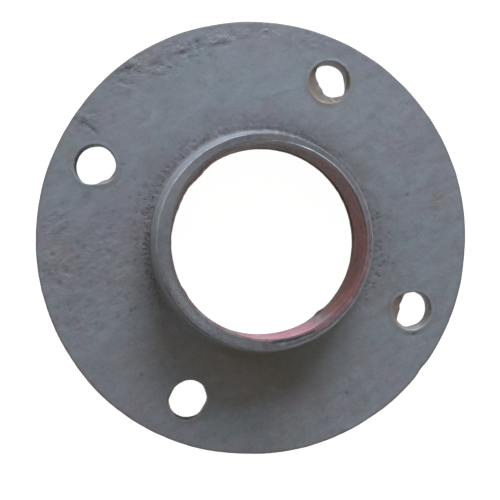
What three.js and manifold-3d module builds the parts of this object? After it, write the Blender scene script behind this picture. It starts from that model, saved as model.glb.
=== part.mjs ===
// Toilet flange: a flat round steel plate with four bolt holes, and a short
// tapered neck that the soil pipe passes through or butts against.
//
// It is a welded fabrication of four pieces that never move:
//   flange_plate       the drilled ring that sits on the floor or wall
//   neck_collar        the tapered ring let into the plate, with an uneven rim
//   front_fillet_weld  the bead run round the root of the neck
//   back_seal_weld     the bead that closes the joint behind the plate
//
// Millimetres, +Z up. The origin is the centre of the bolt circle on the back
// face of the plate. +Z runs along the neck towards its rim. The bolt holes
// lie on +X, +Y, -X and -Y.

import * as THREE from "three";
import { mergeVertices } from "three/addons/utils/BufferGeometryUtils.js";
import Module from "manifold-3d";

// ---------------------------------------------------------------- dimensions
const PLATE_OD = 190.5; // 7 1/2 in
const PLATE_T = 6.4; // 1/4 in plate
const PLATE_EDGE = 0.5; // broken outer edges
const BOLT_CIRCLE = 152.4; // 6 in, the usual spacing of closet bolts
const BOLT_HOLE_D = 18.0;
const BOLT_COUNT = 4;

const NECK_HEIGHT = 20.0; // rim above the plate's front face
const NECK_ROOT_R = 46.2; // the collar where it passes through the plate
const NECK_TAPER_FROM = 3.1; // above the front face, where the taper starts
const NECK_SHOULDER_R = 44.9; // just below the rounded outer edge of the rim
const NECK_RIM_R = 43.3; // outer edge of the flat land
const NECK_SHIFT = [1.1, -0.2]; // the collar's centre, off the bolt circle's

const BORE_RIM_R = 39.9;
const BORE_BACK_R = 41.3; // the bore opens slightly towards the back
const BORE_SHIFT = [2.3, 0.6]; // the bore's centre, so the land is uneven
const BORE_EDGE = 0.4; // worn inner edge of the rim

const COLLAR_SETBACK = 2.4; // the collar stops short of the back face
const FIT_GAP = 0.3; // between pieces that meet

const FILLET_LEG = 6.6; // of the front weld, along the plate
const FILLET_RISE = 6.3; // and up the neck
const SEAL_RECESS = 0.2; // the back weld is dressed just below the back face

const RING_SEGMENTS = 120;
const HOLE_SEGMENTS = 40;

const RIM_Z = PLATE_T + NECK_HEIGHT;

// ------------------------------------------------------------------ helpers
const wasm = await Module();
wasm.setup();

function solidOf(geometry) {
  const g = geometry.clone();
  g.deleteAttribute("normal");
  g.deleteAttribute("uv");
  const m = mergeVertices(g, 1e-4);
  return new wasm.Manifold(
    new wasm.Mesh({
      numProp: 3,
      vertProperties: new Float32Array(m.getAttribute("position").array),
      triVerts: new Uint32Array(m.index.array),
    }),
  );
}

function geometryOf(solid) {
  const m = solid.getMesh();
  const at = new Float32Array(m.numVert * 3);
  for (let i = 0; i < m.numVert; i++)
    at.set(m.vertProperties.subarray(i * m.numProp, i * m.numProp + 3), i * 3);
  const g = new THREE.BufferGeometry();
  g.setAttribute("position", new THREE.BufferAttribute(at, 3));
  g.setIndex(new THREE.BufferAttribute(new Uint32Array(m.triVerts), 1));
  g.computeVertexNormals();
  return g;
}

// A solid of revolution about +Z from [radius, height] pairs. The pairs start
// and end on the axis, or the last joins the first to close a ring, and they
// run upwards on the outside so that the faces point outwards.
function turned(profile, segments, [x, y] = [0, 0]) {
  const onAxis = profile[0][0] === 0;
  const points = (onAxis ? profile : [...profile, profile[0]]).map(
    ([r, z]) => new THREE.Vector2(r, z),
  );
  const g = new THREE.LatheGeometry(points, segments);
  g.rotateX(Math.PI / 2); // the lathe's axis is +Y, the part's is +Z
  g.translate(x, y, 0);
  return solidOf(g);
}

// A plain or tapered plug along +Z, for cutting holes.
function plug(lowR, highR, z0, z1, segments, [x, y]) {
  return turned(
    [
      [0, z0],
      [lowR, z0],
      [highR, z1],
      [0, z1],
    ],
    segments,
    [x, y],
  );
}

// The collar's outer radius at a height z on its straight stretches.
function collarR(z) {
  const z0 = PLATE_T + NECK_TAPER_FROM,
    z1 = RIM_Z - 2.2;
  const k = Math.min(Math.max((z - z0) / (z1 - z0), 0), 1);
  return NECK_ROOT_R + k * (NECK_SHOULDER_R - NECK_ROOT_R);
}

// The bore's radius at a height z: one straight taper through all the pieces.
function boreR(z) {
  return BORE_BACK_R + (z / RIM_Z) * (BORE_RIM_R - BORE_BACK_R);
}

// -------------------------------------------------------------- flange plate
// A disc with broken edges, bored for the collar and drilled on the bolt circle.
let plate = turned(
  [
    [0, 0],
    [PLATE_OD / 2 - PLATE_EDGE, 0],
    [PLATE_OD / 2, PLATE_EDGE],
    [PLATE_OD / 2, PLATE_T - PLATE_EDGE],
    [PLATE_OD / 2 - PLATE_EDGE, PLATE_T],
    [0, PLATE_T],
  ],
  RING_SEGMENTS,
).subtract(
  plug(
    NECK_ROOT_R + FIT_GAP,
    NECK_ROOT_R + FIT_GAP,
    -1,
    PLATE_T + 1,
    RING_SEGMENTS,
    NECK_SHIFT,
  ),
);
for (let i = 0; i < BOLT_COUNT; i++) {
  const a = (i / BOLT_COUNT) * 2 * Math.PI;
  plate = plate.subtract(
    plug(
      BOLT_HOLE_D / 2,
      BOLT_HOLE_D / 2,
      -1,
      PLATE_T + 1,
      HOLE_SEGMENTS,
      [(BOLT_CIRCLE / 2) * Math.cos(a), (BOLT_CIRCLE / 2) * Math.sin(a)],
    ),
  );
}

// --------------------------------------------------------------- neck collar
// Turned outside: straight through the plate, tapered above it, and rounded
// over to a flat land at the rim. The bore is cut off-centre.
const collar = turned(
  [
    [0, COLLAR_SETBACK],
    [NECK_ROOT_R - 0.4, COLLAR_SETBACK],
    [NECK_ROOT_R, COLLAR_SETBACK + 0.4],
    [NECK_ROOT_R, PLATE_T + NECK_TAPER_FROM],
    [NECK_SHOULDER_R, RIM_Z - 2.2],
    [NECK_SHOULDER_R - 0.2, RIM_Z - 1.3],
    [NECK_RIM_R + 0.75, RIM_Z - 0.45],
    [NECK_RIM_R, RIM_Z],
    [0, RIM_Z],
  ],
  RING_SEGMENTS,
  NECK_SHIFT,
)
  .subtract(
    plug(boreR(-1), boreR(RIM_Z + 1), -1, RIM_Z + 1, RING_SEGMENTS, BORE_SHIFT),
  )
  .subtract(
    plug(
      BORE_RIM_R - 1,
      BORE_RIM_R + BORE_EDGE + 1,
      RIM_Z - BORE_EDGE - 1,
      RIM_Z + 1,
      RING_SEGMENTS,
      BORE_SHIFT,
    ),
  );

// --------------------------------------------------------- front fillet weld
// A concave bead in the corner between the plate and the neck.
const weldIn = NECK_ROOT_R + FIT_GAP,
  weldFoot = PLATE_T + FIT_GAP,
  weldTop = weldFoot + FILLET_RISE;
const frontWeld = turned(
  [
    [weldIn, weldFoot],
    [weldIn + FILLET_LEG, weldFoot],
    [weldIn + FILLET_LEG, weldFoot + 0.3],
    [weldIn + FILLET_LEG * 0.62, weldFoot + FILLET_RISE * 0.17],
    [weldIn + FILLET_LEG * 0.34, weldFoot + FILLET_RISE * 0.4],
    [weldIn + FILLET_LEG * 0.14, weldFoot + FILLET_RISE * 0.7],
    [collarR(weldTop) + FIT_GAP + 0.3, weldTop],
    [collarR(weldTop) + FIT_GAP, weldTop],
    [weldIn, PLATE_T + NECK_TAPER_FROM],
  ],
  RING_SEGMENTS,
  NECK_SHIFT,
);

// ------------------------------------------------------------ back seal weld
// Fills the step between the collar's set-back end and the plate's back face.
const sealTop = COLLAR_SETBACK - FIT_GAP;
const backWeld = turned(
  [
    [0, SEAL_RECESS],
    [NECK_ROOT_R - 0.5, SEAL_RECESS],
    [NECK_ROOT_R, SEAL_RECESS + 0.5],
    [NECK_ROOT_R, sealTop],
    [0, sealTop],
  ],
  RING_SEGMENTS,
  NECK_SHIFT,
).subtract(plug(boreR(-1), boreR(5), -1, 5, RING_SEGMENTS, BORE_SHIFT));

// -------------------------------------------------------------- the assembly
const steel = (hex, roughness, metalness) =>
  new THREE.MeshStandardMaterial({ color: hex, roughness, metalness });

function piece(name, solid, material) {
  const mesh = new THREE.Mesh(geometryOf(solid), material);
  mesh.name = name;
  return mesh;
}

const flange = new THREE.Group();
flange.name = "toilet_flange";
flange.add(
  piece("flange_plate", plate, steel(0x757a84, 0.62, 0.55)),
  piece("neck_collar", collar, steel(0x6f727a, 0.58, 0.55)),
  piece("front_fillet_weld", frontWeld, steel(0x57585c, 0.78, 0.45)),
  piece("back_seal_weld", backWeld, steel(0x5e514e, 0.8, 0.4)),
);

export default flange;
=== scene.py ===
# Looks for the toilet flange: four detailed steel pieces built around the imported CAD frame.
# Sizes below are in millimetres unless a name ends in _M; meshes are written in metres.
import math

import bpy
import numpy as np
from mathutils import Matrix, Vector


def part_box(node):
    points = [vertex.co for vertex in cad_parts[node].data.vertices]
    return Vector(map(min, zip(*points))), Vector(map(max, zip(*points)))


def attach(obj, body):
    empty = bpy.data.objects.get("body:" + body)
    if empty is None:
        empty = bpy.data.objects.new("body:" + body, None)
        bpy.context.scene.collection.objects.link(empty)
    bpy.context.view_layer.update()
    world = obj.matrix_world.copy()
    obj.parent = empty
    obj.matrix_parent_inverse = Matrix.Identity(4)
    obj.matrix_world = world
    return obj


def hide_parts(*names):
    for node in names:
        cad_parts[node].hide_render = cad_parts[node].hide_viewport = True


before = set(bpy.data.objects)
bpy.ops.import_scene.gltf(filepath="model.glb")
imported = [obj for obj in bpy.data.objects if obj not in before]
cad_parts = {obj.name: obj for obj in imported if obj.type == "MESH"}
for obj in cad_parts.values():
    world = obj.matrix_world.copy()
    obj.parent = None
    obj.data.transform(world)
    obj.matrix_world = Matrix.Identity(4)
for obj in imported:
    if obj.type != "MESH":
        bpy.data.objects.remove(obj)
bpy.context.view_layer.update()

TAU = 2 * math.pi
KEYS = ("dark", "rust", "wear_and_painted_light", "warm", "tint", "tan")  # colour fields kept on the meshes

# ------------------------------------------------------------------ CAD sizes
plate_lo, plate_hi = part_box("flange_plate")
collar_lo, collar_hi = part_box("neck_collar")
PLATE_R = plate_hi.x * 1000  # 95.25
PLATE_T = plate_hi.z * 1000  # 6.4
RIM_Z = collar_hi.z * 1000  # 26.4
COLLAR_Z0 = collar_lo.z * 1000  # 2.4
NECK_C = np.array([1.1, -0.2])  # neck's centre off the bolt circle's
BORE_C = np.array([2.3, 0.6])  # bore's centre
NECK_ROOT_R = 46.2
BORE_RIM_R, BORE_BACK_R = 39.9, 41.3
HOLE_R, HOLE_PCR = 9.0, 76.2

# The camera's roll: directions on the part as they lie in the main view.
ROLL = math.radians(24.18)
RIGHT = np.array([math.cos(ROLL), math.sin(ROLL)])
UP = np.array([-math.sin(ROLL), math.cos(ROLL)])


def seen(deg):
    """An angle on the part, in radians, from its angle in the main view."""
    return math.radians(deg) + ROLL


# ---------------------------------------------------------------------- noise
_tables = {}


def _table(seed):
    if seed not in _tables:
        rng = np.random.RandomState(seed)
        g = rng.normal(size=(256, 3))
        _tables[seed] = (
            rng.permutation(256),
            g / np.linalg.norm(g, axis=1, keepdims=True),
        )
    return _tables[seed]


def noise(p, size, seed=0):
    """Smooth noise of about -1 to 1 at points p (mm), with features of about size mm."""
    perm, grad = _table(seed)
    q = np.asarray(p, float) / size + 37.3
    i = np.floor(q).astype(np.int64)
    f = q - i
    u = f * f * f * (f * (f * 6 - 15) + 10)
    out = 0.0
    for dx in (0, 1):
        hx = perm[(i[:, 0] + dx) & 255]
        wx = u[:, 0] if dx else 1 - u[:, 0]
        for dy in (0, 1):
            hy = perm[(hx + i[:, 1] + dy) & 255]
            wy = u[:, 1] if dy else 1 - u[:, 1]
            for dz in (0, 1):
                h = perm[(hy + i[:, 2] + dz) & 255]
                wz = u[:, 2] if dz else 1 - u[:, 2]
                d = f - np.array([dx, dy, dz])
                out = out + wx * wy * wz * (grad[h] * d).sum(1)
    return out * 1.6


def fbm(p, size, octaves=3, seed=0, gain=0.5):
    total, amp, norm = 0.0, 1.0, 0.0
    for k in range(octaves):
        total = total + amp * noise(p, size / 2**k, seed + k * 7)
        norm += amp
        amp *= gain
    return total / norm


def smooth(a, b, x):
    t = np.clip((x - a) / (b - a), 0, 1)
    return t * t * (3 - 2 * t)


def bump(x, width):
    """1 at x = 0, falling to 0 over about width."""
    return np.exp(-((x / width) ** 2))


def turn(a, b):
    """The angle from b to a, wrapped to -pi..pi."""
    return (a - b + math.pi) % TAU - math.pi


# ---------------------------------------------------------------- mesh helper
def make_piece(name, verts_mm, faces, attributes, material, node):
    mesh = bpy.data.meshes.new(name)
    mesh.from_pydata((np.asarray(verts_mm) * 0.001).tolist(), [], faces)
    for key, value in attributes.items():
        a = mesh.attributes.new(key, "FLOAT", "POINT")
        a.data.foreach_set(
            "value", np.clip(np.asarray(value), 0, 1).astype(np.float32)
        )
    mesh.materials.append(material)
    mesh.polygons.foreach_set("use_smooth", [True] * len(mesh.polygons))
    mesh.update()
    ob = bpy.data.objects.new(name, mesh)
    bpy.context.scene.collection.objects.link(ob)
    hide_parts(node)
    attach(ob, "root")
    return ob


def ring_faces(count, rings, closed, flip=False, base=0):
    """Quads between rings of count points each, ring after ring."""
    out = []
    for k in range(rings if closed else rings - 1):
        a, b = base + k * count, base + ((k + 1) % rings) * count
        for i in range(count):
            j = (i + 1) % count
            quad = [a + i, b + i, b + j, a + j]
            out.append(quad[::-1] if flip else quad)
    return out


# ============================================================== surface fields
# Marks shared by the relief and the colours, so that a pit is also dark: painted shade, deeper pits darker.
rng = np.random.RandomState(20631)


def at_view(u, v):
    """The point on the part that lies u mm right and v mm up in the main view."""
    return RIGHT * u + UP * v


def scatter(count, r0, r1, deg0=0, deg1=360):
    """Points on the plate between two radii and two main-view angles."""
    r = np.sqrt(rng.uniform(r0 * r0, r1 * r1, count))
    t = np.radians(rng.uniform(deg0, deg1, count)) + ROLL
    return np.stack([r * np.cos(t), r * np.sin(t)], 1)


def marks(xy, radius, depth):
    """Rows of x, y, radius and depth for pits at the points xy."""
    n = len(xy)
    return np.column_stack([xy, rng.uniform(*radius, n), rng.uniform(*depth, n)])


PITS = np.concatenate(
    [
        marks(scatter(110, 55, 93), (0.25, 0.6), (0.02, 0.07)),
        marks(scatter(60, 52, 72, 150, 235), (0.3, 0.7), (0.04, 0.12)),
        marks(scatter(46, 74, 93, 165, 205), (0.3, 0.8), (0.05, 0.13)),
        marks(scatter(30, 78, 92, 100, 140), (0.4, 0.9), (0.05, 0.16)),
        marks(scatter(30, 52, 62, -30, 15), (0.3, 0.7), (0.05, 0.15)),
        [
            [*at_view(-55.1, -30.3), 0.7, 0.2],
            [*at_view(-53.2, -28.8), 0.5, 0.14],
            [*at_view(-50.9, -58.1), 0.7, 0.2],
            [*at_view(39.7, -68.2), 0.8, 0.16],
            [*at_view(66.9, 20.6), 0.7, 0.17],
            [*at_view(66.5, 61.2), 0.6, 0.14],
            [*at_view(70.6, -42.4), 0.8, 0.24],
            [*at_view(56.5, -9.5), 0.6, 0.2],
            [*at_view(58.4, -7.6), 0.5, 0.18],
            [*at_view(54.0, -16.0), 0.6, 0.18],
            [*at_view(-41.5, 39.0), 0.6, 0.12],
            [*at_view(-87.5, -6.0), 0.8, 0.2],
            [*at_view(-84.6, -18.4), 0.9, 0.2],
        ],
    ]
)

ROOT_PITS = np.concatenate(
    [
        marks(NECK_C + scatter(30, 48.6, 50.6, 146, 208), (0.25, 0.6), (0.06, 0.2)),
        marks(NECK_C + scatter(56, 49.4, 56.5, 142, 214), (0.2, 0.5), (0.04, 0.15)),
        marks(NECK_C + scatter(22, 48.8, 53.0, 112, 150), (0.3, 0.6), (0.06, 0.18)),
        marks(NECK_C + scatter(34, 49.0, 55.0, -24, 20), (0.3, 0.65), (0.06, 0.22)),
    ]
)

# thin cuts: start, end, half width, depth, darkness (negative brightens)
CUTS = [
    (at_view(-79.0, 52.0), at_view(-74.5, 48.6), 0.6, 0.12, 0.8),
    (at_view(-75.0, 50.8), at_view(-69.0, 45.2), 0.7, 0.15, 0.95),
    (at_view(-71.6, 50.6), at_view(-67.6, 47.6), 0.6, 0.08, 0.5),
    (at_view(-77.4, 46.4), at_view(-73.0, 44.6), 0.6, 0.08, 0.4),
    (at_view(-46.2, 50.0), at_view(-44.6, 55.0), 1.0, -0.08, -0.95),
    (at_view(-45.4, 57.4), at_view(-45.0, 58.6), 0.7, -0.05, -0.5),
    (at_view(-50.6, 48.0), at_view(-46.8, 49.8), 0.7, -0.05, -0.45),
    (at_view(-61.0, 70.4), at_view(-55.4, 73.4), 0.8, 0.16, 0.9),
    (at_view(-60.6, 68.2), at_view(-57.4, 66.4), 0.7, 0.12, 0.7),
    (at_view(-54.6, 76.2), at_view(-50.4, 74.0), 0.8, -0.1, -0.8),
    (at_view(-45.8, 74.4), at_view(-42.0, 76.6), 0.8, 0.14, 0.85),
    (at_view(-44.6, 72.4), at_view(-41.0, 71.2), 0.7, -0.08, -0.6),
    (at_view(-43.4, 70.2), at_view(-40.0, 71.2), 0.7, 0.12, 0.7),
    (at_view(-36.0, 79.0), at_view(-29.5, 82.0), 0.8, 0.12, 0.75),
    (at_view(-33.0, 83.4), at_view(-26.0, 85.4), 0.7, 0.08, 0.5),
    (at_view(-22.0, 86.0), at_view(-13.5, 88.2), 0.9, -0.08, -0.75),
    (at_view(-22.0, 83.4), at_view(-13.0, 85.4), 0.8, 0.1, 0.7),
    (at_view(-10.0, 86.4), at_view(-4.0, 88.2), 0.7, 0.08, 0.5),
    (at_view(86.0, -30.0), at_view(88.6, -24.0), 0.7, -0.06, -0.6),
    (at_view(84.6, -33.5), at_view(86.0, -30.5), 0.7, -0.06, -0.6),
]

# rough, flaking patches: right, up, reach right, reach up, strength
PATCHES = [
    (-52.8, 73.8, 9, 5, 1.0),
    (-42.3, 74.2, 7, 6, 0.9),
    (-57.3, 66.9, 6, 5, 0.7),
    (-31.7, 82.0, 9, 5, 0.9),
    (-16.5, 87.6, 10, 4, 0.8),
    (2.0, 90.0, 9, 3, 0.6),
    (22.0, 86.5, 12, 4, 0.5),
    (-73.5, 51.5, 9, 6, 0.6),
    (-86.0, 6.0, 6, 9, 0.7),
    (-86.0, -14.0, 7, 10, 1.0),
    (-80.0, -28.0, 7, 9, 0.5),
    (-66.0, -8.0, 14, 20, 0.5),
    (-74.0, -34.0, 13, 12, 0.55),
    (-58.0, -26.0, 9, 13, 0.5),
    (-52.0, -42.0, 12, 10, 0.35),
    (64.0, 44.0, 12, 14, 0.3),
    (80.0, 17.0, 7, 8, 0.45),
    (62.0, -14.0, 10, 12, 0.4),
]

# colour clouds: right, up, reach, strength
COOL = [
    (-20, 70, 24, 0.9),
    (18, 72, 22, 0.7),
    (-46, 54, 18, 0.7),
    (-62, 38, 14, 0.4),
    (44, 58, 16, 0.7),
    (60, 34, 14, 0.5),
    (74, -6, 20, 0.95),
    (56, -22, 12, 0.6),
    (58, -46, 14, 0.6),
    (-78, 20, 12, 0.4),
    (-24, -82, 10, 0.4),
]
WARM = [
    (-84, -10, 14, 0.5),
    (-62, -16, 16, 0.4),
    (-46, 34, 8, 0.5),
    (-50, 76, 9, 0.5),
    (-20, 88, 9, 0.3),
    (38, 70, 6, 0.8),
    (36, 64, 6, 0.5),
    (81, 17, 5, 0.9),
    (56, 2, 8, 0.5),
    (60, -22, 10, 0.4),
    (46, -52, 9, 0.5),
    (-56, -52, 14, 0.4),
    (10, -62, 20, 0.4),
    (86, 44, 7, 0.4),
    (52, -28, 12, 0.5),
    (14, -84, 12, 0.5),
    (-55, -23, 10, 0.45),
    (85, -8, 8, 0.4),
]


def near(points, rows):
    """The strongest of some soft round patches at points on the plate."""
    u, v = points @ RIGHT, points @ UP
    out = np.zeros(len(points))
    for row in rows:
        ru, rv = (row[2], row[2]) if len(row) == 4 else (row[2], row[3])
        q = ((u - row[0]) / ru) ** 2 + ((v - row[1]) / rv) ** 2
        out = np.maximum(out, row[-1] * np.exp(-q))
    return out


def pits_at(x, y, pits):
    """(depth in mm, 0..1 darkness) of the pits at points on the plate; the darkness, growing with depth, is painted
    shade in them.
    """
    depth = np.zeros(len(x))
    dark = np.zeros(len(x))
    order = np.argsort(x)
    xs = x[order]
    for px, py, r, d in pits:
        lo, hi = np.searchsorted(xs, [px - 3 * r, px + 3 * r])
        k = order[lo:hi]
        q = np.exp(-(((x[k] - px) ** 2 + (y[k] - py) ** 2) / (r * r)) ** 1.2)
        depth[k] = np.maximum(depth[k], d * q)
        dark[k] = np.maximum(dark[k], q * min(1, d / 0.17))
    return depth, dark


def cuts_at(points):
    """(relief in mm, darkness -1..1) of the thin cuts at points on the plate."""
    relief = np.zeros(len(points))
    tone = np.zeros(len(points))
    wander = 0.5 * noise(np.column_stack([points, 0 * points[:, 0]]), 2.5, 15)
    for a, b, w, depth, dark in CUTS:
        ab = b - a
        q = np.clip((points - a) @ ab / (ab @ ab), 0, 1)
        d = np.hypot(*(points - a - q[:, None] * ab).T) + wander * w
        k = np.exp(-((d / w) ** 2)) * (0.65 + 0.35 * np.sin(q * math.pi))
        relief -= depth * k
        tone = np.where(k * abs(dark) > abs(tone), k * dark, tone)
    return relief, tone


def plate_wobble(t):
    """How far the plate's edge departs from its circle, in mm, by angle."""
    out = np.zeros_like(t)
    for deg, w, h in (
        (118, 16, 0.26),
        (150, 12, -0.3),
        (173, 14, -0.22),
        (225, 15, 0.42),
        (246, 10, 0.15),
        (268, 9, -0.28),
        (313, 7, 0.15),
        (322, 1.7, -0.42),
        (358, 10, -0.26),
        (20, 18, 0.1),
        (60, 22, 0.08),
    ):
        out += h * bump(turn(t, seen(deg)), math.radians(w))
    p = np.stack([np.cos(t) * 30, np.sin(t) * 30, 0 * t], 1)
    return out + 0.07 * fbm(p, 6, 2, 5) + 0.11 * noise(p, 2.4, 6)


def grit_side(t):
    """How rough the metal is round the neck's root, by angle."""
    return np.clip(
        0.3
        + 0.75 * bump(turn(t, seen(172)), 0.75)
        + 0.45 * bump(turn(t, seen(-10)), 0.6),
        0,
        1,
    )


def root_painted_shade(t, r):
    """Darkening towards the neck's root, by angle and radius from the neck: painted shade in the corner round the
    root, and a broader darkening round it.
    """
    wide = bump(turn(t, seen(52)), 0.95)
    left = bump(turn(t, seen(150)), 0.7)
    low = bump(turn(t, seen(262)), 0.9)
    top = bump(turn(t, seen(97)), 0.4)
    low_left = bump(turn(t, seen(199)), 0.3)
    base = 0.12 + 0.2 * wide + 0.12 * left - 0.14 * low + 0.04 * top + 0.17 * low_left
    base = base + 0.1 * bump(turn(t, seen(331)), 0.25)
    close = 0.1 * smooth(55, 49.5, r) + 0.26 * bump(r - 49.3, 1.3) * (0.3 + wide + 0.35 * left)
    close = close + 0.18 * top * smooth(54, 50, r)
    close = close + 0.15 * bump(turn(t, seen(64)), 0.36) * smooth(58, 51, r)
    close = close * (1 - 0.8 * bump(turn(t, seen(190)), 0.38))
    return np.clip(base * smooth(66 - 6 * left, 50.5, r) + close * (1 - low), 0, 1)


def root_brown_and_shadow_tint(t, r):
    """Brownish tint round the neck's root, by angle and radius; the reach out on the lower side, where the neck's
    shadow falls, is painted shadow colour.
    """
    side = 0.45 * bump(turn(t, seen(40)), 0.9) + 0.4 * bump(turn(t, seen(175)), 0.5)
    low = 0.75 * bump(turn(t, seen(262)), 0.75)
    return side * smooth(66, 51, r) + low * smooth(82, 58, r)


HOLES = [HOLE_PCR * np.array([math.cos(k * TAU / 4), math.sin(k * TAU / 4)]) for k in range(4)]
# per hole, in the order +X, +Y, -X, -Y: (main-view angle, width in degrees, mm)
HOLE_LIPS = [  # the wall's departure inwards below the front edge; negative flares out
    [(178, 30, 3.9), (138, 24, 2.35), (203, 16, 0.7), (236, 18, 1.0), (285, 30, 0.8), (5, 34, 0.5), (55, 24, 0.4)],
    [(176, 28, 3.6), (200, 18, 0.9), (226, 32, 4.35), (270, 26, 2.2), (304, 22, 1.6), (8, 34, 1.1), (140, 20, 0.9)],
    [(300, 26, 1.4), (335, 24, 0.9), (150, 62, -1.0), (45, 30, 0.4)],
    [(164, 28, 1.1), (208, 24, 0.6), (258, 44, -1.2), (325, 30, 0.9), (20, 24, 0.7), (70, 20, 0.1)],
]
HOLE_EDGES = [  # how far the front edge itself stands in, because the holes aren't quite round
    [(100, 40, 1.4)],
    [(285, 30, 0.2)],
    [(275, 36, 1.7), (10, 40, 0.85)],
    [(130, 42, 1.4)],
]
HOLE_TAN = [1.0, 1.0, 0.1, 0.2]  # how tan the scale is where the wall stands in
# metal raised round the front edge; front_fields and the hole walls also paint a glint along it
HOLE_BURRS = [  # metal raised round the front edge
    [(282, 32, 0.22), (140, 50, 0.1), (0, 30, 0.05)],
    [(100, 60, 0.06)],
    [(318, 30, 0.07), (60, 50, 0.03)],
    [(285, 45, 0.02)],
]
HOLE_SHADE = [  # dark line right at the front edge
    [(285, 24, 0.1)],
    [(95, 40, 0.1)],
    [(282, 40, 0.3), (322, 24, 0.25)],
    [(288, 60, 0.5)],
]
HOLE_STAINS = [  # tan or rust round the front edge
    [(175, 45, 0.8), (60, 50, 0.3), (280, 30, 0.5)],
    [(200, 50, 1.0), (250, 40, 0.7)],
    [(310, 40, 0.8), (270, 30, 0.5), (140, 60, 0.3), (30, 50, 0.35)],
    [(160, 60, 0.7), (20, 60, 0.5), (280, 45, 0.8)],
]


def by_angle(t, rows):
    return sum(h * bump(turn(t, seen(deg)), math.radians(w)) for deg, w, h in rows)


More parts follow.
